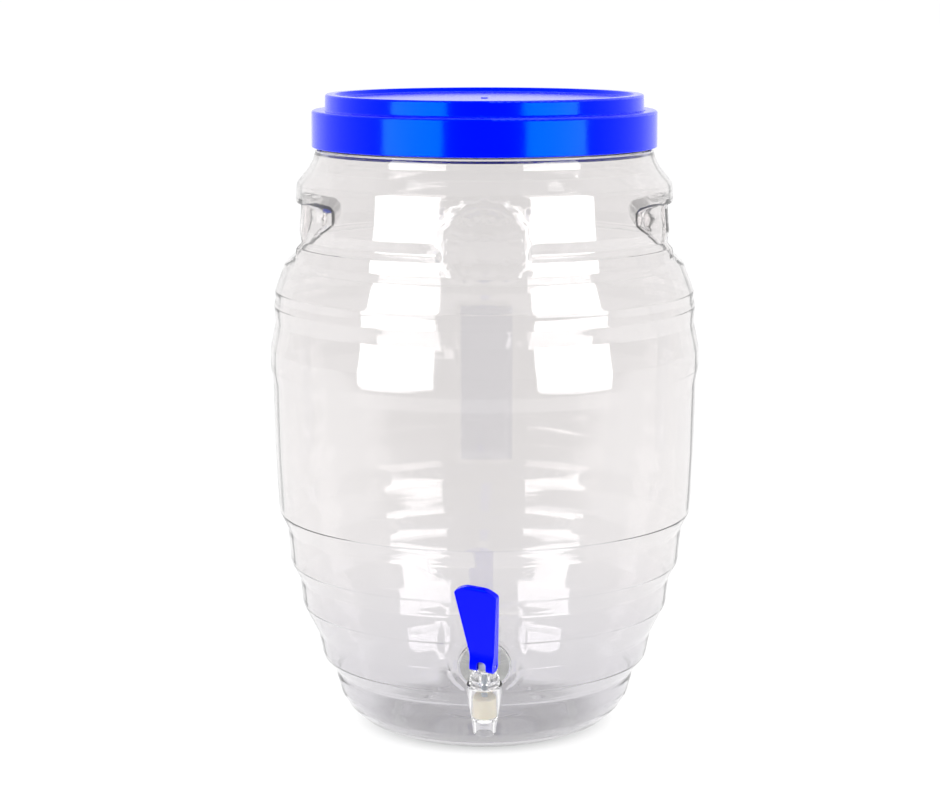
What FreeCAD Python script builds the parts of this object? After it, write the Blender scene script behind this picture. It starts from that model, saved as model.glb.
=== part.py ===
"""Barrel-shaped clear drinks dispenser, 20 litre, with a screw lid and a lever tap.

Millimetres. +Z is up, the tap looks towards -Y, and the origin is on the jar's axis
at the plane that the standing ring rests on.
"""
import FreeCAD, Part
import Sketcher
import math
import os

os.makedirs("parts", exist_ok=True)

V = FreeCAD.Vector
doc = FreeCAD.newDocument("dispenser")
sheet = doc.addObject("Spreadsheet::Sheet", "sizes")

SIZES = {
    # jar shell
    "wall": 1.6,
    "neck_bore_r": 105.4,
    "rim_z": 414.3,
    # finger grips in the shoulder, one on each side
    "grip_half_width": 38.0,
    "grip_roof_z": 357.5,
    "grip_back_x": 100.0,
    "grip_sill_z": 344.0,
    "grip_lip_x": 131.0,
    "grip_lip_z": 318.0,
    # upright flute in the back wall
    "flute_r": 90.0,
    "flute_axis_y": 228.9,
    "flute_low_z": 153.0,
    "flute_high_z": 268.0,
    # round medallion on the front of the shoulder
    "badge_r": 30.0,
    "badge_z": 340.0,
    "badge_low_r": 133.0,
    "badge_high_r": 125.5,
    # tap seat pressed into the front wall
    "seat_y": 116.0,
    "seat_z": 70.5,
    "seat_tilt": 12.0,
    "seat_half_width": 23.5,
    "seat_top": 37.0,
    "tap_hole_r": 8.3,
    # screw thread of the neck and lid
    "thread_pitch": 9.0,
    "neck_thread_z": 398.5,
    "neck_thread_turns": 1.25,
    "neck_thread_crest_r": 110.4,
    "lid_thread_drop": 3.4,
    "lid_thread_turns": 1.0,
    "lid_thread_crest_r": 109.4,
    # tap
    "tap_reach": 36.0,
    "shank_r": 8.0,
    "shank_end": 15.0,
    "waterway_r": 4.0,
    "pipe_r": 5.6,
    "flange_r": 17.3,
    "flange_thick": 2.6,
    "washer_thick": 2.0,
    "outer_washer_r": 15.5,
    "inner_washer_r": 14.5,
    "nut_flats": 25.0,
    "nut_thick": 8.0,
    "nut_collar_r": 15.0,
    "nut_collar_thick": 2.0,
    # tap lever and valve
    "lever_swivel": -22.0,
    "pin_z": 18.6,
    "pin_r": 1.5,
    "pin_half": 7.3,
    "stem_r": 2.0,
    "fork_gap": 6.4,
}

row = 0
for alias, number in SIZES.items():
    row += 1
    sheet.set("A%d" % row, alias)
    sheet.set("B%d" % row, str(number))
    sheet.setAlias("B%d" % row, alias)
sheet.recompute()


def size(alias, number):
    """Write one more size to the sheet and return its name."""
    global row
    row += 1
    sheet.set("A%d" % row, alias)
    sheet.set("B%d" % row, str(round(number, 4)))
    sheet.setAlias("B%d" % row, alias)
    return alias


def plane(body, role):
    """Origin plane or axis of a body, found by its role."""
    return next(f for f in body.Origin.OriginFeatures if f.Role == role)


def outline(body, role, name, corners):
    """Closed sketch through corners (u, v, corner radius); every corner is a sheet size."""
    sketch = body.newObject("Sketcher::SketchObject", name)
    sketch.AttachmentSupport = [(plane(body, role), "")]
    sketch.MapMode = "FlatFace"
    count = len(corners)
    for i in range(count):
        a = corners[i]
        b = corners[(i + 1) % count]
        sketch.addGeometry(Part.LineSegment(V(a[0], a[1], 0), V(b[0], b[1], 0)), False)
    for i in range(count):
        sketch.addConstraint(Sketcher.Constraint("Coincident", i, 2, (i + 1) % count, 1))
    driven = []
    for i, (u, v, _) in enumerate(corners):
        for kind, number, axis in (("DistanceX", u, -2), ("DistanceY", v, -1)):
            if abs(number) < 1e-9:
                sketch.addConstraint(Sketcher.Constraint("PointOnObject", i, 1, axis))
                continue
            if number > 0:
                index = sketch.addConstraint(
                    Sketcher.Constraint(kind, -1, 1, i, 1, number))
            else:
                index = sketch.addConstraint(
                    Sketcher.Constraint(kind, i, 1, -1, 1, -number))
            label = "p%d%s" % (i, kind[-1].lower())
            sketch.renameConstraint(index, label)
            driven.append((label, "%s_%s" % (name, label), abs(number)))
    for i, (_, _, radius) in enumerate(corners):
        if radius:
            sketch.fillet(i, 1, radius, True, True)
    for label, alias, number in driven:
        size(alias, number)
    sheet.recompute()
    for label, alias, _ in driven:
        sketch.setExpression("Constraints." + label, "%s.%s" % (sheet.Name, alias))
    sketch.recompute()
    return sketch


def new_body(name):
    return doc.addObject("PartDesign::Body", name)


def turned(name, corners):
    """Body turned about Z from an outline of (radius, height, corner radius)."""
    body = new_body(name)
    sketch = outline(body, "XZ_Plane", name + "_outline", corners)
    turn = body.newObject("PartDesign::Revolution", name + "_turn")
    turn.Profile = sketch
    turn.ReferenceAxis = (sketch, ["V_Axis"])
    turn.Angle = 360
    return body


def prism(name, role, corners, length):
    """Body padded by length, half to each side of the origin plane of that role."""
    body = new_body(name)
    sketch = outline(body, role, name + "_outline", corners)
    pad = body.newObject("PartDesign::Pad", name + "_pad")
    pad.Profile = sketch
    pad.Length = length
    pad.SideType = "Symmetric"
    return body


def helix(name, corners, pitch, height):
    """Body swept along a right-hand helix about Z from a section of (radius, height)."""
    body = new_body(name)
    sketch = outline(body, "XZ_Plane", name + "_outline", corners)
    coil = body.newObject("PartDesign::AdditiveHelix", name + "_coil")
    coil.Profile = sketch
    coil.ReferenceAxis = (sketch, ["V_Axis"])
    coil.Mode = 0
    coil.Pitch = pitch
    coil.Height = height
    coil.Angle = 0
    coil.LeftHanded = False
    coil.Reversed = False
    return body


def cylinder(name, radius, height, placement):
    """Part cylinder; radius and height are sheet expressions or numbers."""
    shape = doc.addObject("Part::Cylinder", name)
    for key, number in (("Radius", radius), ("Height", height)):
        if isinstance(number, str):
            shape.setExpression(key, number)
        else:
            setattr(shape, key, number)
    shape.Placement = placement
    return shape


def fuse(name, shapes, refine=True):
    joined = doc.addObject("Part::MultiFuse", name)
    joined.Shapes = shapes
    joined.Refine = refine
    return joined


def cut(name, base, tool):
    left = doc.addObject("Part::Cut", name)
    left.Base = base
    left.Tool = tool
    left.Refine = True
    return left


def common(name, shapes):
    shared = doc.addObject("Part::MultiCommon", name)
    shared.Shapes = shapes
    return shared


W = SIZES["wall"]
HERE = FreeCAD.Placement()
ABOUT_Z = FreeCAD.Rotation()
ALONG_Y = FreeCAD.Rotation(V(1, 0, 0), -90)
ALONG_MINUS_Y = FreeCAD.Rotation(V(1, 0, 0), 90)
ALONG_X = FreeCAD.Rotation(V(0, 1, 0), 90)
TILT = SIZES["seat_tilt"]
SEAT = FreeCAD.Placement(
    V(0, -SIZES["seat_y"], SIZES["seat_z"]), FreeCAD.Rotation(V(1, 0, 0), TILT))
TAP = SEAT.multiply(FreeCAD.Placement(V(0, -SIZES["tap_reach"], 0), ABOUT_Z))
SWIVEL = FreeCAD.Placement(V(0, 0, 0), FreeCAD.Rotation(V(0, 0, 1), SIZES["lever_swivel"]))
LEVER = TAP.multiply(SWIVEL)


def hand_over(source, label, placement=None):
    """Name a finished piece after its node."""
    source.Label = label
    if placement is not None:
        source.Placement = placement
    return source


# ---------------------------------------------------------------- jar
# Outside of the shell, from the push-up in the base to the mouth: radius, height, corner.
shell_steps = [
    (40, 9, 8), (58, 0, 3), (97.5, 0, 37), (102.3, 38, 2.5), (111.2, 49, 3),
    (114.4, 65, 3), (124.4, 85, 3), (126.3, 103, 3), (132.4, 114.5, 3), (134.4, 138, 3),
    (139.9, 149.5, 1.5), (141.8, 192, 0), (142.7, 238, 4), (144.4, 247, 3),
    (144.3, 260, 6), (140.7, 277.5, 4), (141.5, 288.5, 1.5), (140.3, 293.0, 1),
    (140.5, 298.5, 1.5), (133.9, 316, 2.5), (130.6, 320.8, 1.5), (129.6, 329.5, 1.5),
    (126.0, 333.5, 1.5), (127.4, 341, 2), (125.1, 370, 4), (117.2, 379.5, 3),
    (114.2, 385, 3), (112.3, 391.5, 1.5), (108.0, 393.2, 0.8), (108.0, 414.3, 1.0),
]
outer_steps = [(0, 9, 0)] + shell_steps + [(0, 414.3, 0)]
inner_steps = [(0, 11.2, 0), (39.2, 11.2, 0), (58, 2.2, 0), (95.9, 1.9, 35)]
inner_steps += [(r - W, z, 0) for r, z, _ in shell_steps[3:24]]
inner_steps += [
    (123.5, 369.0, 0), (115.6, 378.4, 0), (112.6, 384.2, 0), (110.2, 390.0, 0),
    (105.4, 393.6, 0), (105.4, 416, 0), (0, 416, 0),
]
jar_outside = turned("shell_outside", outer_steps)
jar_inside = turned("shell_inside", inner_steps)


def grip(name, grow):
    """Finger grip cut from the side of the shoulder, grown by one wall for the inside."""
    roof = SIZES["grip_roof_z"] + grow
    back = SIZES["grip_back_x"] - grow
    sill = SIZES["grip_sill_z"]
    lip_x = SIZES["grip_lip_x"]
    lip_z = SIZES["grip_lip_z"] - 1.2 * grow
    slope = (SIZES["grip_sill_z"] - SIZES["grip_lip_z"]) / (lip_x - SIZES["grip_back_x"])
    corners = [
        (152, roof + 1, 0), (back, roof, 6 + grow), (back, sill - grow, 9 + grow),
        (lip_x - grow, lip_z, 0), (152, lip_z - slope * (152 - lip_x + grow), 0),
    ]
    return prism(name, "XZ_Plane", corners, 2 * (SIZES["grip_half_width"] + grow))


def both_sides(name, base, tool):
    """Cut a tool from +X and its mirror image from -X."""
    first = cut(name + "_right", base, tool)
    twin = doc.addObject("Part::Mirroring", name + "_twin")
    twin.Source = tool
    twin.Normal = (1, 0, 0)
    return cut(name + "_left", first, twin)


def seat_outline(name, grow, length, near):
    """U-shaped prism of the tap seat, in the tilted seat frame, starting at y = near."""
    half = SIZES["seat_half_width"] + grow
    top = SIZES["seat_top"] + grow
    corners = [
        (-half, -half + 1, half - 0.5), (half, -half + 1, half - 0.5),
        (half, top, 4), (-half, top, 4),
    ]
    body = prism(name, "XZ_Plane", corners, length)
    body.Placement = SEAT.multiply(FreeCAD.Placement(V(0, near + length / 2, 0), ABOUT_Z))
    return body


def flute(name, grow):
    """Upright cylinder that presses the flute into the back wall."""
    low = SIZES["flute_low_z"] - grow
    return cylinder(
        name, "sizes.flute_r + %g" % grow, SIZES["flute_high_z"] + grow - low,
        FreeCAD.Placement(V(-1.5, SIZES["flute_axis_y"], low), ABOUT_Z))


# The badge is a round pad whose face follows a cone just outside the shoulder.
badge_cone = doc.addObject("Part::Cone", "badge_cone")
badge_cone.setExpression("Radius1", "sizes.badge_low_r")
badge_cone.setExpression("Radius2", "sizes.badge_high_r")
badge_cone.Height = 75
badge_cone.Placement = FreeCAD.Placement(V(0, 0, 300), ABOUT_Z)
badge_disc = cylinder("badge_disc", "sizes.badge_r", 30, FreeCAD.Placement(
    V(0, -112, SIZES["badge_z"]), ALONG_MINUS_Y))
badge = common("badge", [badge_cone, badge_disc])

outer_pad = seat_outline("seat_pad", 0, 16, 0)
outer_with_pads = fuse("outside_with_pads", [jar_outside, outer_pad, badge])
outer_recess = seat_outline("seat_recess", 0, 30, -30)
outer_cut = cut("outside_seat", outer_with_pads, outer_recess)
outer_cut = cut("outside_flute", outer_cut, flute("flute_outside", 0))
outer_cut = both_sides("outside_grip", outer_cut, grip("grip_outside", 0))

inner_pad = seat_outline("seat_pad_inside", -W, 16, W)
inner_with_pad = fuse("inside_with_pad", [jar_inside, inner_pad])
inner_recess = seat_outline("seat_recess_inside", W, 30, W - 30)
inner_cut = cut("inside_seat", inner_with_pad, inner_recess)
inner_cut = cut("inside_flute", inner_cut, flute("flute_inside", W))
inner_cut = both_sides("inside_grip", inner_cut, grip("grip_inside", W))

jar_shell = cut("jar_shell", outer_cut, inner_cut)
tap_hole = cylinder("tap_hole", "sizes.tap_hole_r", 20, SEAT.multiply(
    FreeCAD.Placement(V(0, -10, 0), ALONG_Y)))
jar_drilled = cut("jar_drilled", jar_shell, tap_hole)

PITCH = SIZES["thread_pitch"]


def thread_section(root_r, crest_r, z):
    """Trapezoid tooth centred on height z."""
    return [
        (root_r, z - 1.7, 0), (root_r, z + 1.7, 0),
        (crest_r, z + 0.8, 0), (crest_r, z - 0.8, 0),
    ]


NECK_Z = SIZES["neck_thread_z"]
neck_thread = helix(
    "neck_thread", thread_section(107.3, SIZES["neck_thread_crest_r"], NECK_Z),
    PITCH, PITCH * SIZES["neck_thread_turns"])
jar_body = hand_over(fuse("jar", [jar_drilled, neck_thread], False), "jar_body")

# ---------------------------------------------------------------- lid
lid_shell = turned("lid_shell", [
    (0, 425.0, 0), (97.8, 425.0, 1.5), (99.4, 428.0, 0.8), (105.6, 428.0, 1.5),
    (105.9, 417.6, 1.2), (114.7, 417.5, 1.8), (114.8, 393.4, 0.6), (112.5, 393.4, 0),
    (112.4, 415.3, 0), (103.4, 415.3, 0), (103.2, 422.8, 0), (0, 422.8, 0),
])
lid_nub = cylinder("lid_nub", 2.2, 1.0, FreeCAD.Placement(V(0, 0, 424.5), ABOUT_Z))
LID_Z = NECK_Z - SIZES["lid_thread_drop"] + PITCH / 4
lid_thread = helix(
    "lid_thread", thread_section(113.2, SIZES["lid_thread_crest_r"], LID_Z),
    PITCH, PITCH * SIZES["lid_thread_turns"])
lid_thread.Placement = FreeCAD.Placement(V(0, 0, 0), FreeCAD.Rotation(V(0, 0, 1), 90))
lid = hand_over(fuse("lid_all", [lid_shell, lid_nub, lid_thread], False), "lid")
lid_seal = hand_over(turned("seal_ring", [
    (104.6, 414.3, 0), (109.6, 414.3, 0), (109.6, 415.3, 0), (104.6, 415.3, 0),
]), "lid_seal")

# ---------------------------------------------------------------- tap
# Local frame: barrel on Z, shank towards +Y, origin where the two axes cross.
REACH = SIZES["tap_reach"]
WASHER = SIZES["washer_thick"]
flange_y = REACH - WASHER - SIZES["flange_thick"]
barrel = turned("barrel", [
    (0, -29, 0), (7.2, -29, 0.8), (7.9, -23, 3), (10.3, -8, 4), (11.2, 1, 2),
    (11.2, 5.5, 0.8), (0, 5.5, 0),
])
barrel_bore = turned("barrel_bore", [
    (0, -30, 0), (5.2, -30, 0), (5.2, -19.5, 0), (8.2, -16, 0), (8.2, 6, 0), (0, 6, 0),
])
shank = turned("shank", [
    (0, 0, 0), (SIZES["pipe_r"], 0, 0), (SIZES["pipe_r"], flange_y - 7, 3),
    (9.0, flange_y - 1.5, 0.8), (SIZES["flange_r"], flange_y, 0.8),
    (SIZES["flange_r"], flange_y + SIZES["flange_thick"], 0.5),
    (SIZES["shank_r"], flange_y + SIZES["flange_thick"], 0),
    (SIZES["shank_r"], REACH + SIZES["shank_end"], 0.8),
    (0, REACH + SIZES["shank_end"], 0),
])
shank.Placement = FreeCAD.Placement(V(0, 0, 0), ALONG_Y)
waterway = cylinder("waterway", "sizes.waterway_r", REACH + 20, FreeCAD.Placement(
    V(0, 0, 0), ALONG_Y))
tap_solid = fuse("tap_solid", [barrel, shank])
tap_bored = cut("tap_bored", cut("tap_piped", tap_solid, waterway), barrel_bore)
tap_body = hand_over(tap_bored, "tap_body", TAP)

tap_bonnet = hand_over(turned("bonnet", [
    (2.35, 3.6, 0), (8.1, 3.6, 0.5), (8.1, 5.53, 0), (9.8, 5.53, 0.3),
    (9.8, 9.5, 0.9), (8.2, 9.5, 0.6), (7.4, 15.55, 0.6), (2.35, 15.55, 0.3),
]), "tap_bonnet", TAP)

seat_cup = hand_over(turned("cup", [
    (0, -19.4, 0), (5.1, -19.4, 0), (7.3, -16.75, 0.8), (7.2, -2.6, 1), (2.1, -2.6, 0),
    (2.1, -9.6, 0), (5.2, -9.6, 0), (5.2, -12.2, 0), (0, -12.2, 0),
]), "seat_cup", LEVER)

PIN_Z = SIZES["pin_z"]
stem_rod = turned("stem_rod", [
    (0, -12.1, 0), (5.0, -12.1, 0.4), (5.0, -9.8, 0.4), (2.0, -9.8, 0),
    (2.0, PIN_Z - 2, 0), (0, PIN_Z - 2, 0),
])
stem_head = prism("stem_head", "YZ_Plane", [
    (-3.2, PIN_Z - 2.7, 1.0), (3.2, PIN_Z - 2.7, 1.0),
    (3.2, PIN_Z + 3.2, 3.0), (-3.2, PIN_Z + 3.2, 3.0),
], 5.6)
stem_hole = cylinder("stem_hole", SIZES["pin_r"] + 0.05, 10, FreeCAD.Placement(
    V(-5, 0, PIN_Z), ALONG_X))
tap_stem = hand_over(cut(
    "stem", fuse("stem_blank", [stem_rod, stem_head]), stem_hole), "tap_stem", LEVER)

lever_pin = hand_over(turned("pin", [
    (0, -SIZES["pin_half"], 0), (SIZES["pin_r"], -SIZES["pin_half"], 0.3),
    (SIZES["pin_r"], SIZES["pin_half"], 0.3), (0, SIZES["pin_half"], 0),
]), "lever_pin", LEVER.multiply(FreeCAD.Placement(V(0, 0, PIN_Z), ALONG_X)))

lever_side = prism("lever_side", "YZ_Plane", [
    (-6.3, PIN_Z - 2.9, 2.9), (4.0, PIN_Z - 2.9, 2.9), (3.2, PIN_Z + 7, 14),
    (-12.4, PIN_Z + 61, 1.6), (-16.6, PIN_Z + 60, 1.6), (-4.6, PIN_Z + 8, 12),
    (-6.3, PIN_Z + 2, 3),
], 40)
lever_front = prism("lever_front", "XZ_Plane", [
    (-7.7, PIN_Z - 6, 0), (7.7, PIN_Z - 6, 0), (7.7, PIN_Z + 5, 30),
    (14.0, PIN_Z + 56, 3), (7.0, PIN_Z + 60.5, 14), (-7.0, PIN_Z + 60.5, 14),
    (-14.0, PIN_Z + 56, 3), (-7.7, PIN_Z + 5, 30),
], 50)
lever_blank = common("lever_blank", [lever_side, lever_front])
half_gap = SIZES["fork_gap"] / 2
lever_slot = prism("lever_slot", "XZ_Plane", [
    (-half_gap, PIN_Z - 8, 0), (half_gap, PIN_Z - 8, 0),
    (half_gap, PIN_Z + 4.4, 2.6), (-half_gap, PIN_Z + 4.4, 2.6),
], 50)
lever_hole = cylinder("lever_hole", SIZES["pin_r"] + 0.05, 24, FreeCAD.Placement(
    V(-12, 0, PIN_Z), ALONG_X))
tap_lever = hand_over(cut(
    "lever", cut("lever_forked", lever_blank, lever_slot), lever_hole), "tap_lever", LEVER)


def washer(name, label, radius, near, thick, bore):
    """Ring on the shank from y = near towards the inside of the jar."""
    ring = turned(name, [
        (bore, 0, 0), (radius, 0, 0), (radius, thick, 0), (bore, thick, 0),
    ])
    return hand_over(ring, label, TAP.multiply(FreeCAD.Placement(V(0, near, 0), ALONG_Y)))


BORE = SIZES["shank_r"] + 0.05
outer_washer = washer(
    "outer_ring", "outer_washer", SIZES["outer_washer_r"], REACH - WASHER, WASHER, BORE)
inner_washer = washer(
    "inner_ring", "inner_washer", SIZES["inner_washer_r"], REACH + W, WASHER, BORE)

nut_y = REACH + W + WASHER
apothem = SIZES["nut_flats"] / 2
corner_r = apothem / math.cos(math.pi / 6)
hexagon = [(
    corner_r * math.cos(math.pi / 3 * k), corner_r * math.sin(math.pi / 3 * k), 1.0
) for k in range(6)]
nut_hex = prism("nut_hex", "XY_Plane", [
    (x if abs(x) > 1e-6 else 0, y if abs(y) > 1e-6 else 0, c) for x, y, c in hexagon
], SIZES["nut_thick"])
nut_hex.Placement = FreeCAD.Placement(V(0, 0, SIZES["nut_thick"] / 2), ABOUT_Z)
nut_collar = cylinder("nut_collar", "sizes.nut_collar_r", "sizes.nut_collar_thick", HERE)
nut_bore = cylinder("nut_bore", BORE, 20, FreeCAD.Placement(V(0, 0, -5), ABOUT_Z))
shank_nut = hand_over(
    cut("nut", fuse("nut_blank", [nut_hex, nut_collar]), nut_bore), "shank_nut",
    TAP.multiply(FreeCAD.Placement(V(0, nut_y, 0), ALONG_Y)))

doc.recompute()

# ---------------------------------------------------------------- hand over
NODES = [
    jar_body, lid, lid_seal, tap_body, tap_bonnet, tap_lever, lever_pin, tap_stem,
    seat_cup, outer_washer, inner_washer, shank_nut,
]
for thing in doc.Objects:
    if "Invalid" in thing.State or "Error" in thing.State:
        raise RuntimeError("%s failed: %s" % (thing.Name, thing.State))
for node in NODES:
    shape = node.Shape
    if shape.isNull() or not shape.isValid() or shape.Volume <= 0 or not shape.Solids:
        raise RuntimeError("%s has no valid solid" % node.Label)
    box = shape.BoundBox
    print("%-13s solids %d volume %.1f  z %.2f..%.2f  y %.2f..%.2f" % (
        node.Label, len(shape.Solids), shape.Volume, box.ZMin, box.ZMax, box.YMin, box.YMax))
    shape.exportStep("parts/%s.step" % node.Label)

# Filling volume of the jar, up to the foot of the neck and up to the rim.
for level in (393.0, SIZES["rim_z"]):
    block = Part.makeBox(400, 400, level, V(-200, -200, 0))
    litres = inner_cut.Shape.common(block).Volume / 1e6
    print("filling volume to height %.1f: %.2f litres" % (level, litres))
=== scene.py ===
"""Clear barrel-shaped drinks dispenser with a blue screw lid and a lever tap.

Metres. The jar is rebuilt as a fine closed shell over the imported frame; the lid, the
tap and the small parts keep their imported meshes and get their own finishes.
"""
import math

import bmesh
import bpy
import numpy as np
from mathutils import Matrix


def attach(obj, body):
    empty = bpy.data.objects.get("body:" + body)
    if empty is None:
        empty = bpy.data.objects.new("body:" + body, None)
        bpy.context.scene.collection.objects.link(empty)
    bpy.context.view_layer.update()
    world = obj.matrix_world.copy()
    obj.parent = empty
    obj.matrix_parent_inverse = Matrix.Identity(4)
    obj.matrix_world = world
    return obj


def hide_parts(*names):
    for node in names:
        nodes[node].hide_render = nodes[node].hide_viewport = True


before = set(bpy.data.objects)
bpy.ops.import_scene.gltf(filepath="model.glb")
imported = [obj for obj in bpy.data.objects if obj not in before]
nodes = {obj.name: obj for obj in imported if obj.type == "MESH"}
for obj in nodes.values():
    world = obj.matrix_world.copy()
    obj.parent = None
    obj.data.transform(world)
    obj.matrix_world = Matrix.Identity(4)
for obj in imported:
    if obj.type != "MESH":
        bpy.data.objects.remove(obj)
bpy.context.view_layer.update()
MM = 0.001  # the jar is drawn in millimetres

# ------------------------------------------------------------------ jar sizes, mm
WALL = 1.5
# Radius, height, corner radius, in millimetres, from the push-up to the mouth.
STEPS = [
    (0, 9, 0), (40, 9, 8), (58, 0, 3), (97.5, 0, 37), (102.3, 38, 3), (111.2, 49, 3),
    (114.4, 65, 3), (124.4, 85, 3), (126.3, 103, 3), (132.4, 114.5, 3), (134.4, 138, 3),
    (139.9, 149.5, 1.5), (141.8, 192, 0), (142.7, 238, 4), (144.4, 247, 3),
    (144.3, 260, 6), (140.7, 277.5, 4), (141.5, 288.5, 1.5), (140.3, 293.0, 1),
    (140.5, 298.5, 1.5), (133.9, 316, 2.5), (130.6, 320.8, 1.5),
    (129.6, 329.5, 1.5), (126.0, 333.5, 1.5), (127.4, 341, 2), (125.1, 370, 4),
    (117.2, 379.5, 3), (114.2, 385, 3), (112.3, 391.5, 1.5), (108.0, 393.2, 0.8),
    (108.0, 414.3, 1.0), (105.4, 414.3, 0),
]
# Radius and height inside the neck, from the shell's last row to the mouth.
NECK_INSIDE = [
    (110.5, 391.3), (109.8, 391.7), (106.6, 391.8), (105.8, 392.3), (105.4, 393.2),
    (105.4, 404.0), (105.4, 414.1),
]
BASE_BEND = 3  # the corner of STEPS between the standing ring and the body
SHRINK = 0.15  # keeps the uneven wall inside the CAD outline
GRIP_HALF = 38.0
GRIP_IN = math.radians(16.4)  # the grip's end walls lie between these two angles
GRIP_OUT = math.radians(18.6)
GRIP_BACK_X = 100.0
GRIP_SILL_Z = 344.0
GRIP_ROOF_Z = 357.9
GRIP_ROOF_ROUND = 6.4
FLUTE_OFFSET = 1.5
FLUTE_HALF = 18.8
FLUTE_DEPTH = 3.6
BODY_R = 142.0
BADGE_Z = 340.0
BADGE_R = 29.0
SEAT_Y = 116.0
SEAT_Z = 70.5
SEAT_HALF = 23.5
SEAT_SLOPE = 0.2126  # tangent of its 12 degree tilt
THREAD_PITCH = 9.0
THREAD_Z = 398.5
THREAD_TURNS = 1.25
THREAD_HEIGHT = 2.35


def rounded(corners, step):
    """Points along a line of rounded corners; step(z) is the spacing at that height."""
    pts = [np.array(c[:2], float) for c in corners]
    path = [pts[0]]
    for i in range(1, len(pts) - 1):
        radius = corners[i][2]
        a = pts[i - 1] - pts[i]
        b = pts[i + 1] - pts[i]
        la = np.linalg.norm(a)
        lb = np.linalg.norm(b)
        a = a / la
        b = b / lb
        angle = math.acos(max(-1.0, min(1.0, float(a @ b))))
        if radius < 1e-6 or math.pi - angle < 1e-3:
            path.append(pts[i])
            continue
        cut = min(radius / math.tan(angle / 2), 0.49 * la, 0.49 * lb)
        if i == BASE_BEND:
            cut = min(radius / math.tan(angle / 2), 0.92 * lb)
        radius = cut * math.tan(angle / 2)
        start = pts[i] + a * cut
        end = pts[i] + b * cut
        mid = (a + b) / np.linalg.norm(a + b)
        centre = pts[i] + mid * radius / math.sin(angle / 2)
        t0 = math.atan2(*(start - centre)[::-1])
        t1 = math.atan2(*(end - centre)[::-1])
        turn = (t1 - t0 + math.pi) % (2 * math.pi) - math.pi
        n = max(2, int(abs(turn) / math.radians(14)))
        for k in range(n + 1):
            t = t0 + turn * k / n
            path.append(centre + radius * np.array([math.cos(t), math.sin(t)]))
    path.append(pts[-1])
    fine = [path[0]]
    for p, q in zip(path, path[1:]):
        length = float(np.linalg.norm(q - p))
        n = max(1, int(math.ceil(length / step((p[1] + q[1]) / 2))))
        for k in range(1, n + 1):
            fine.append(p + (q - p) * k / n)
    return np.array(fine)


def smooth(x, low, high):
    """Smooth step from 0 at low to 1 at high."""
    t = np.clip((x - low) / (high - low), 0, 1)
    return t * t * (3 - 2 * t)


def soft_max0(x, k):
    """max(x, 0) with its corner rounded over about k."""
    return 0.5 * (x + np.sqrt(x * x + k * k)) - 0.5 * k * np.exp(-np.abs(x) / k)


def grip_depth_x(z):
    """x of the grip's inner surface at height z: sloping sill, upright back, flat roof."""
    sill = GRIP_BACK_X + soft_max0(31 * np.clip((GRIP_SILL_Z - z) / 26, 0, 3), 5)
    rise = np.clip(z - (GRIP_ROOF_Z - GRIP_ROOF_ROUND), 0, GRIP_ROOF_ROUND)
    roof = 30 * (1 - np.sqrt(np.clip(1 - (rise / GRIP_ROOF_ROUND) ** 2, 0, 1)))
    return sill + np.where(z > GRIP_ROOF_Z, 60, roof)


def wander(theta, z):
    """Slight unevenness of a blown wall, in millimetres."""
    return (
        0.16 * np.sin(3 * theta + z / 47.0) * np.cos(z / 29.0 + 0.7)
        + 0.07 * np.sin(7 * theta - z / 23.0 + 1.3)
        + 0.04 * np.sin(13 * theta + z / 11.0)
    )


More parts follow.
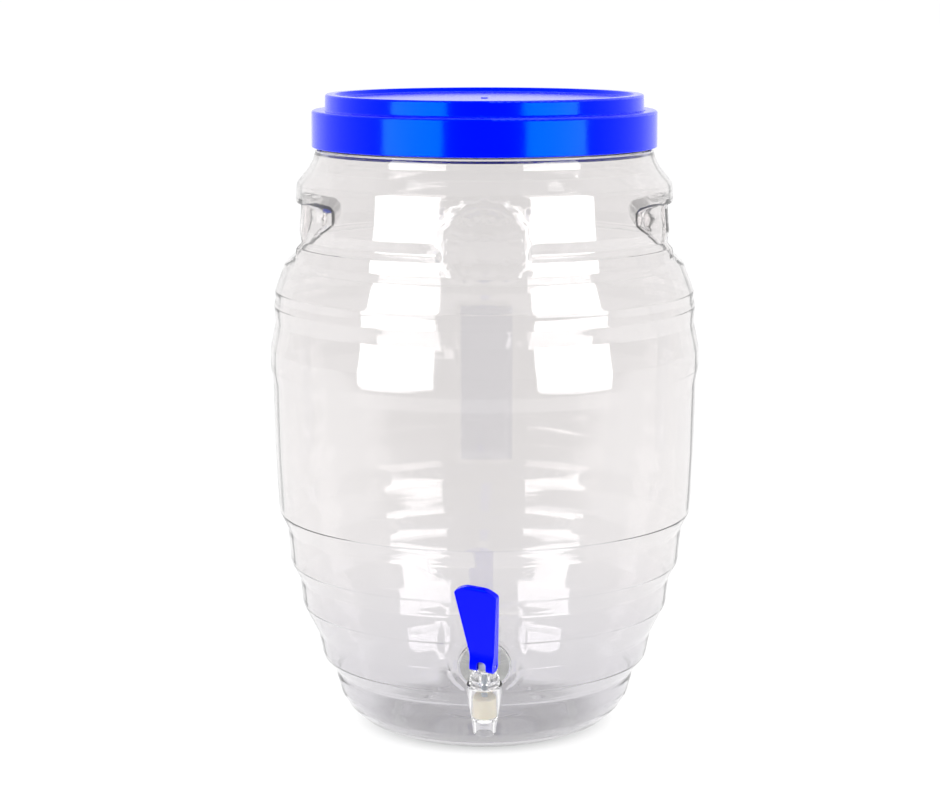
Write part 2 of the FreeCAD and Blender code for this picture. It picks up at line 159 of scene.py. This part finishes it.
def shell_point(theta, r, z):
    """Outer surface; theta is 0 at the front (-Y) and grows towards +X. Arrays in mm."""
    body = smooth(z, 30, 60) * (1 - smooth(z, 374, 388))
    r = r + (wander(theta, z) - SHRINK) * body
    # upright flute in the back wall
    back = np.arctan2(np.sin(theta - math.pi), np.cos(theta - math.pi))
    across = back * BODY_R - FLUTE_OFFSET
    half = FLUTE_HALF + 2.5 * np.clip(r - BODY_R, 0, 3)
    dent = FLUTE_DEPTH * np.clip(1 - (across / half) ** 2, 0, 1) ** 0.55
    r = r - dent * smooth(z, 152, 155) * (1 - smooth(z, 264, 269))
    # round badge on the front of the shoulder
    x = r * np.sin(theta)
    front = np.cos(theta) > 0
    ang = np.arctan2(x, z - BADGE_Z)
    dist = np.hypot(x, z - BADGE_Z)
    edge = BADGE_R + 0.7 * np.cos(16 * ang)
    cone = 133.0 - 0.1 * (z - 300)
    inside = (1 - smooth(dist, edge - 1.6, edge + 0.4)) * front
    relief = 0.2 * (1 - smooth(np.abs(dist - 24.5), 0.8, 2.4))
    ribs = 0.25 * smooth(np.cos(12 * ang), 0.0, 0.9) * (
        smooth(dist, 14, 17) * (1 - smooth(dist, 20, 23)))
    centre = 0.25 * (1 - smooth(dist, 7, 11))
    r = np.where(inside > 0, np.maximum(r, r + (cone - r) * inside), r)
    r = r - (relief + ribs + centre) * inside * 0.8
    # flat, slightly tilted seat for the tap
    centre_z = SEAT_Z + 1
    away = np.where(z < centre_z, np.hypot(x, z - centre_z), np.abs(x))
    seat = 1 - smooth(away, SEAT_HALF - 1.0, SEAT_HALF + 1.6)
    seat = seat * front * (1 - smooth(z, 104.5, 107.5))
    flat = (SEAT_Y + SEAT_SLOPE * (z - SEAT_Z)) / np.maximum(np.cos(theta), 0.2)
    r = r + (flat - r) * seat
    # screw thread on the neck
    turn = np.mod(theta - math.pi / 2, 2 * math.pi) / (2 * math.pi)
    ridge = np.zeros_like(z)
    for lap in (0, 1):
        along = turn + lap
        height = THREAD_Z + THREAD_PITCH * along
        taper = smooth(along, 0, 0.03)
        taper = taper * (1 - smooth(along, THREAD_TURNS - 0.03, THREAD_TURNS))
        tooth = 1 - smooth(np.abs(z - height), 0.8, 1.75)
        ridge = np.maximum(ridge, tooth * taper)
    r = r + THREAD_HEIGHT * ridge
    px = r * np.sin(theta)
    py = -r * np.cos(theta)
    # finger grips: the grid is drawn to the grip's own edges and pushed in along X
    side = np.sign(np.sin(theta))
    phi = np.abs(np.arcsin(np.clip(-np.cos(theta), -1, 1)))
    sign_y = np.sign(-np.cos(theta))
    near = smooth(z, 303, 314) * (1 - smooth(z, 361, 368))
    lane = np.where(
        phi < GRIP_IN, GRIP_HALF * phi / GRIP_IN,
        GRIP_HALF + (r * math.sin(GRIP_OUT) - GRIP_HALF)
        * np.clip((phi - GRIP_IN) / (GRIP_OUT - GRIP_IN), 0, 1))
    use = (phi < GRIP_OUT) * near
    y = py + (sign_y * lane - py) * use
    x_wall = np.sqrt(np.maximum(r * r - y * y, 1))
    depth = soft_max0(x_wall - grip_depth_x(z), 1.2)
    depth = depth * (1 - smooth(phi, GRIP_IN - 0.006, GRIP_OUT - 0.006)) * (near > 0.5)
    px = np.where(use > 0, side * (x_wall - depth), px)
    py = np.where(use > 0, y, py)
    return np.stack([px, py, z], axis=-1)


def around(fine, plain):
    """Column angles: close together at the badge, seat, grips and flute."""
    deg = []
    a = 0.0
    while a < 360:
        deg.append(a)
        front = min(a, 360 - a)
        to_side = min(abs(a - 90), abs(a - 270))
        to_back = abs(a - 180)
        if front < 14:
            a += fine
        elif 15 < to_side < 20:
            a += fine * 0.62
        elif to_side <= 15:
            a += fine * 3.2
        elif 6 < to_back < 9:
            a += fine * 0.6
        else:
            a += plain
        a = round(a, 4)
    return np.radians(np.array(deg))


def spacing(z):
    """Distance between rows at height z: close together where the shape is fine."""
    if 356.2 < z < 358.3:
        return 0.22
    if 350 < z < 361:
        return 0.7
    if 311 < z < 350:
        return 1.7
    if 393 < z < 414:
        return 0.8
    if 150 < z < 238:
        return 4.0
    return 3.0


def shell_grid(profile, theta):
    """Points of the outer surface, one row for each point of the profile."""
    t, r = np.meshgrid(theta, profile[:, 0])
    _, z = np.meshgrid(theta, profile[:, 1])
    return shell_point(t, r, z)


def offset_grid(profile, theta, depth):
    """The shell's grid moved inwards along its own normals."""
    e = 1e-3
    t, r = np.meshgrid(theta, profile[:, 0])
    _, z = np.meshgrid(theta, profile[:, 1])
    tangent = np.gradient(profile, axis=0)
    tangent /= np.linalg.norm(tangent, axis=1)[:, None]
    tr = np.meshgrid(theta, tangent[:, 0])[1]
    tz = np.meshgrid(theta, tangent[:, 1])[1]
    s = 0.05
    along = shell_point(t, r + tr * s, z + tz * s) - shell_point(t, r - tr * s, z - tz * s)
    across = shell_point(t + e, r, z) - shell_point(t - e, r, z)
    normal = np.cross(across, along)
    length = np.linalg.norm(normal, axis=-1)
    length[length < 1e-12] = 1
    return shell_point(t, r, z) - depth * normal / length[..., None]


def closed_shell(name, outer, inner):
    """One closed mesh from an outer and an inner grid that meet at the mouth."""
    verts = []
    faces = []

    def add(grid, flip):
        rows, cols, _ = grid.shape
        pole = len(verts)
        verts.append(tuple(grid[0, 0] * (0, 0, 1)))
        for j in range(1, rows):
            verts.extend(map(tuple, grid[j]))
        first = pole + 1

        def at(j, i):
            return first + (j - 1) * cols + i % cols

        for i in range(cols):
            f = (pole, at(1, i), at(1, i + 1))
            faces.append(f if flip else f[::-1])
        for j in range(1, rows - 1):
            for i in range(cols):
                f = (at(j, i), at(j + 1, i), at(j + 1, i + 1), at(j, i + 1))
                faces.append(f if flip else f[::-1])
        return [at(rows - 1, i) for i in range(cols)]

    rim_out = add(outer, False)
    rim_in = add(inner, True)
    # the two rims have different counts of points: walk round both at once
    n, m = len(rim_out), len(rim_in)
    i = j = 0
    ang_out = np.arctan2(outer[-1, :, 0], -outer[-1, :, 1]) % (2 * math.pi)
    ang_in = np.arctan2(inner[-1, :, 0], -inner[-1, :, 1]) % (2 * math.pi)
    while i < n or j < m:
        next_out = ang_out[i + 1] if i + 1 < n else 2 * math.pi
        next_in = ang_in[j + 1] if j + 1 < m else 2 * math.pi
        if j >= m or (i < n and next_out <= next_in):
            faces.append((rim_out[i % n], rim_out[(i + 1) % n], rim_in[j % m]))
            i += 1
        else:
            faces.append((rim_out[i % n], rim_in[(j + 1) % m], rim_in[j % m]))
            j += 1
    mesh = bpy.data.meshes.new(name)
    mesh.from_pydata([tuple(c * MM for c in v) for v in verts], [], faces)
    mesh.update()
    bm = bmesh.new()
    bm.from_mesh(mesh)
    bmesh.ops.recalc_face_normals(bm, faces=bm.faces)
    bm.to_mesh(mesh)
    bm.free()
    for p in mesh.polygons:
        p.use_smooth = True
    obj = bpy.data.objects.new(name, mesh)
    bpy.context.scene.collection.objects.link(obj)
    return obj


outer_line = rounded(STEPS, spacing)
inner_line = rounded(STEPS[:-3], lambda z: 2.6 if 311 < z < 362 else 5.0)
ring_theta = around(1.1, 3.6)
outer_grid = shell_grid(outer_line, around(0.62, 2.2))
inner_body = offset_grid(inner_line, ring_theta, WALL)
neck_grid = np.stack([
    np.stack([r * np.sin(ring_theta), -r * np.cos(ring_theta), np.full_like(ring_theta, z)], -1)
    for r, z in NECK_INSIDE
])
inner_grid = np.concatenate([inner_body[:-1], neck_grid])
jar = closed_shell("jar", outer_grid, inner_grid)
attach(jar, "jar")
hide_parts("jar_body")


# ------------------------------------------------------------------ finishes
def principled(name, color, roughness, **values):
    """A principled material with constant inputs set on the shader itself."""
    mat = bpy.data.materials.new(name)
    mat.use_nodes = True
    shader = mat.node_tree.nodes["Principled BSDF"]
    shader.inputs["Base Color"].default_value = (*color, 1.0)
    shader.inputs["Roughness"].default_value = roughness
    for key, value in values.items():
        shader.inputs[key.replace("_", " ")].default_value = value
    return mat, shader


def grain(mat, shader, scale, strength, distance):
    """Fine bump from a noise texture in object space."""
    tree = mat.node_tree
    coord = tree.nodes.new("ShaderNodeTexCoord")
    noise = tree.nodes.new("ShaderNodeTexNoise")
    noise.inputs["Scale"].default_value = scale
    noise.inputs["Detail"].default_value = 3.0
    bump = tree.nodes.new("ShaderNodeBump")
    bump.inputs["Strength"].default_value = strength
    bump.inputs["Distance"].default_value = distance
    tree.links.new(coord.outputs["Object"], noise.inputs["Vector"])
    tree.links.new(noise.outputs["Fac"], bump.inputs["Height"])
    tree.links.new(bump.outputs["Normal"], shader.inputs["Normal"])
    return noise


def coordinates(tree):
    """Object-space vector of the surface, and its three parts."""
    coord = tree.nodes.new("ShaderNodeTexCoord")
    split = tree.nodes.new("ShaderNodeSeparateXYZ")
    tree.links.new(coord.outputs["Object"], split.inputs["Vector"])
    return coord.outputs["Object"], split.outputs


def band(tree, value, low, high, start, end, kind="SMOOTHSTEP"):
    """Step of a value from start at low to end at high."""
    step = tree.nodes.new("ShaderNodeMapRange")
    step.interpolation_type = kind
    step.inputs["From Min"].default_value = low
    step.inputs["From Max"].default_value = high
    step.inputs["To Min"].default_value = start
    step.inputs["To Max"].default_value = end
    tree.links.new(value, step.inputs["Value"])
    return step.outputs["Result"]


def combine(tree, operation, a, b):
    """One Math node on two values."""
    node = tree.nodes.new("ShaderNodeMath")
    node.operation = operation
    tree.links.new(a, node.inputs[0])
    tree.links.new(b, node.inputs[1])
    return node.outputs["Value"]


PET_LIGHT = (0.888, 0.872, 0.87, 1.0)
# the darker colour is painted shade, used in the flute and towards the base
PET_PAINTED_SHADE = (0.80, 0.79, 0.81, 1.0)
pet, pet_shader = principled(
    "clear_pet", PET_LIGHT[:3], 0.03, IOR=1.57, Transmission_Weight=1.0)
# Painted shade: the tint is darker in the flute and towards the base, after the photo's tones.
tree = pet.node_tree
_, axis = coordinates(tree)
flute_x = combine(tree, "MULTIPLY", band(tree, axis["X"], -0.0185, -0.0165, 0.0, 1.0),
                  band(tree, axis["X"], 0.0195, 0.0215, 1.0, 0.0))
flute_z = combine(tree, "MULTIPLY", band(tree, axis["Z"], 0.152, 0.155, 0.0, 1.0),
                  band(tree, axis["Z"], 0.264, 0.269, 1.0, 0.0))
flute_y = band(tree, axis["Y"], 0.10, 0.12, 0.0, 1.0)
flute_shade_mask = combine(tree, "MULTIPLY", flute_x, combine(tree, "MULTIPLY", flute_y, flute_z))
# painted shade towards the base
low_shade_mask = band(tree, axis["Z"], 0.02, 0.15, 1.0, 0.0)
pet_shade_mix = tree.nodes.new("ShaderNodeMix")
pet_shade_mix.data_type = "RGBA"
for socket in pet_shade_mix.inputs:
    if socket.type == "RGBA":
        socket.default_value = PET_PAINTED_SHADE if socket.name == "B" else PET_LIGHT
tree.links.new(combine(tree, "MAXIMUM", flute_shade_mask, low_shade_mask), pet_shade_mix.inputs["Factor"])
tree.links.new(next(o for o in pet_shade_mix.outputs if o.type == "RGBA"),
               pet_shader.inputs["Base Color"])
lid_mat, lid_shader = principled("blue_lid", (0.0, 0.0, 0.9), 0.14, IOR=1.42)
lid_shader.inputs["Specular Tint"].default_value = (0.0, 0.92, 1.0, 1.0)
grain(lid_mat, lid_shader, 220.0, 0.05, 0.0004)
lever_mat, lever_shader = principled("blue_lever", (0.0, 0.0, 0.86), 0.15, IOR=1.38)
lever_shader.inputs["Specular Tint"].default_value = (0.0, 0.2, 1.0, 1.0)
grain(lever_mat, lever_shader, 300.0, 0.04, 0.0003)
clear_tap, tap_shader = principled(
    "clear_tap", (0.95, 0.95, 0.955), 0.06, IOR=1.5, Transmission_Weight=1.0)
grain(clear_tap, tap_shader, 180.0, 0.08, 0.0003)
silicone, silicone_shader = principled(
    "silicone", (0.93, 0.86, 0.72), 0.5, Subsurface_Weight=0.15)
silicone_shader.inputs["Subsurface Radius"].default_value = (0.004, 0.003, 0.002)
grain(silicone, silicone_shader, 400.0, 0.06, 0.0002)
seal_white, seal_shader = principled("seal_white", (0.9, 0.9, 0.88), 0.45)
grain(seal_white, seal_shader, 500.0, 0.05, 0.0002)
stem_grey, stem_shader = principled("stem_grey", (0.42, 0.45, 0.5), 0.35)
grain(stem_grey, stem_shader, 500.0, 0.04, 0.0002)
nut_mat, nut_shader = principled("nut_white", (0.86, 0.87, 0.87), 0.35)
grain(nut_mat, nut_shader, 350.0, 0.05, 0.0003)
steel, steel_shader = principled("pin_steel", (0.66, 0.67, 0.69), 0.25, Metallic=1.0)
grain(steel, steel_shader, 900.0, 0.03, 0.0001)

FINISH = {
    "lid": lid_mat, "lid_seal": seal_white, "tap_body": clear_tap,
    "tap_bonnet": clear_tap, "tap_lever": lever_mat, "lever_pin": steel,
    "tap_stem": stem_grey, "seat_cup": silicone, "outer_washer": seal_white,
    "inner_washer": seal_white, "shank_nut": nut_mat,
}
for name, mat in FINISH.items():
    mesh = nodes[name].data
    mesh.materials.clear()
    mesh.materials.append(mat)
jar.data.materials.append(pet)

# ------------------------------------------------------------------ stage
floor_mesh = bpy.data.meshes.new("sweep")
BEND_Y = 2.8
BEND_R = 0.6
line = [(-3.5, 0.0), (BEND_Y, 0.0)]
line += [(BEND_Y + BEND_R * math.sin(a), BEND_R - BEND_R * math.cos(a))
         for a in [math.pi / 2 * k / 16 for k in range(1, 17)]]
line += [(BEND_Y + BEND_R, 3.6)]
sweep_verts = [(x, y, z) for x in (-4.0, 4.0) for y, z in line]
n = len(line)
sweep_faces = [(k, n + k, n + k + 1, k + 1) for k in range(n - 1)]
floor_mesh.from_pydata(sweep_verts, [], sweep_faces)
for p in floor_mesh.polygons:
    p.use_smooth = True
floor = bpy.data.objects.new("sweep", floor_mesh)
bpy.context.scene.collection.objects.link(floor)
floor_mat, floor_shader = principled("white_sweep", (0.08, 0.08, 0.08), 0.9)
floor_shader.inputs["Emission Color"].default_value = (1.0, 1.0, 1.0, 1.0)
floor_mesh.materials.append(floor_mat)
# Painted light and shade: the floor glows less in front of the jar than behind it, and less
# under the jar, where the dimmer glow is a painted shadow.
tree = floor_mat.node_tree
place, axis = coordinates(tree)
radius = tree.nodes.new("ShaderNodeVectorMath")
radius.operation = "LENGTH"
tree.links.new(place, radius.inputs[0])
depth_glow = band(tree, axis["Y"], -0.9, -0.2, 0.12, 0.95)
# painted shadow: the floor glows less under the jar
under_jar_shadow = band(tree, radius.outputs["Value"], 0.06, 0.094, 0.52, 1.0)
tree.links.new(combine(tree, "MULTIPLY", depth_glow, under_jar_shadow),
               floor_shader.inputs["Emission Strength"])


def softbox(name, azimuth, distance, low, high, width, radiance):
    """Upright rectangular light that faces the jar's axis; azimuth 0 is the front."""
    lamp = bpy.data.lights.new(name, "AREA")
    lamp.shape = "RECTANGLE"
    lamp.size = width
    lamp.size_y = high - low
    lamp.energy = radiance * math.pi * width * (high - low)
    obj = bpy.data.objects.new(name, lamp)
    a = math.radians(azimuth)
    obj.location = (distance * math.sin(a), -distance * math.cos(a), (low + high) / 2)
    obj.rotation_euler = (math.radians(90), 0, a)
    bpy.context.scene.collection.objects.link(obj)


for side_name, azimuth in (("softbox_left", -46.5), ("softbox_right", 46.5)):
    softbox(side_name, azimuth, 1.35, 0.05, 1.15, 1.0, 5.0)
top = bpy.data.lights.new("top_light", "AREA")
top.shape = "RECTANGLE"
top.size = 2.4
top.size_y = 2.0
top.energy = 0.8 * math.pi * top.size * top.size_y
top_obj = bpy.data.objects.new("top_light", top)
top_obj.location = (0, 0.6, 2.4)
bpy.context.scene.collection.objects.link(top_obj)

world = bpy.data.worlds.new("studio")
bpy.context.scene.world = world
world.use_nodes = True
tree = world.node_tree
back = tree.nodes["Background"]
coord = tree.nodes.new("ShaderNodeTexCoord")
split = tree.nodes.new("ShaderNodeSeparateXYZ")
tree.links.new(coord.outputs["Generated"], split.inputs["Vector"])
tree.links.new(band(tree, split.outputs["Y"], -1.0, 0.6, 0.2, 0.9, "LINEAR"),
               back.inputs["Strength"])
back.inputs["Color"].default_value = (1.0, 1.0, 1.0, 1.0)

# ------------------------------------------------------------------ camera
cam_data = bpy.data.cameras.new("camera")
cam_data.lens = 89.7
cam_data.sensor_width = 36.0
cam_data.shift_x = -0.0154
cam = bpy.data.objects.new("camera", cam_data)
cam.location = (0.0, -1.565, 0.4952)
cam.rotation_euler = (math.radians(90 - 9.77), 0, 0)
bpy.context.scene.collection.objects.link(cam)
bpy.context.scene.camera = cam

scene = bpy.context.scene
scene.view_settings.view_transform = "Standard"
scene.view_settings.look = "None"
scene.cycles.max_bounces = 18
scene.cycles.transmission_bounces = 18
scene.cycles.glossy_bounces = 6
scene.cycles.transparent_max_bounces = 12
scene.cycles.caustics_reflective = True
scene.cycles.caustics_refractive = True
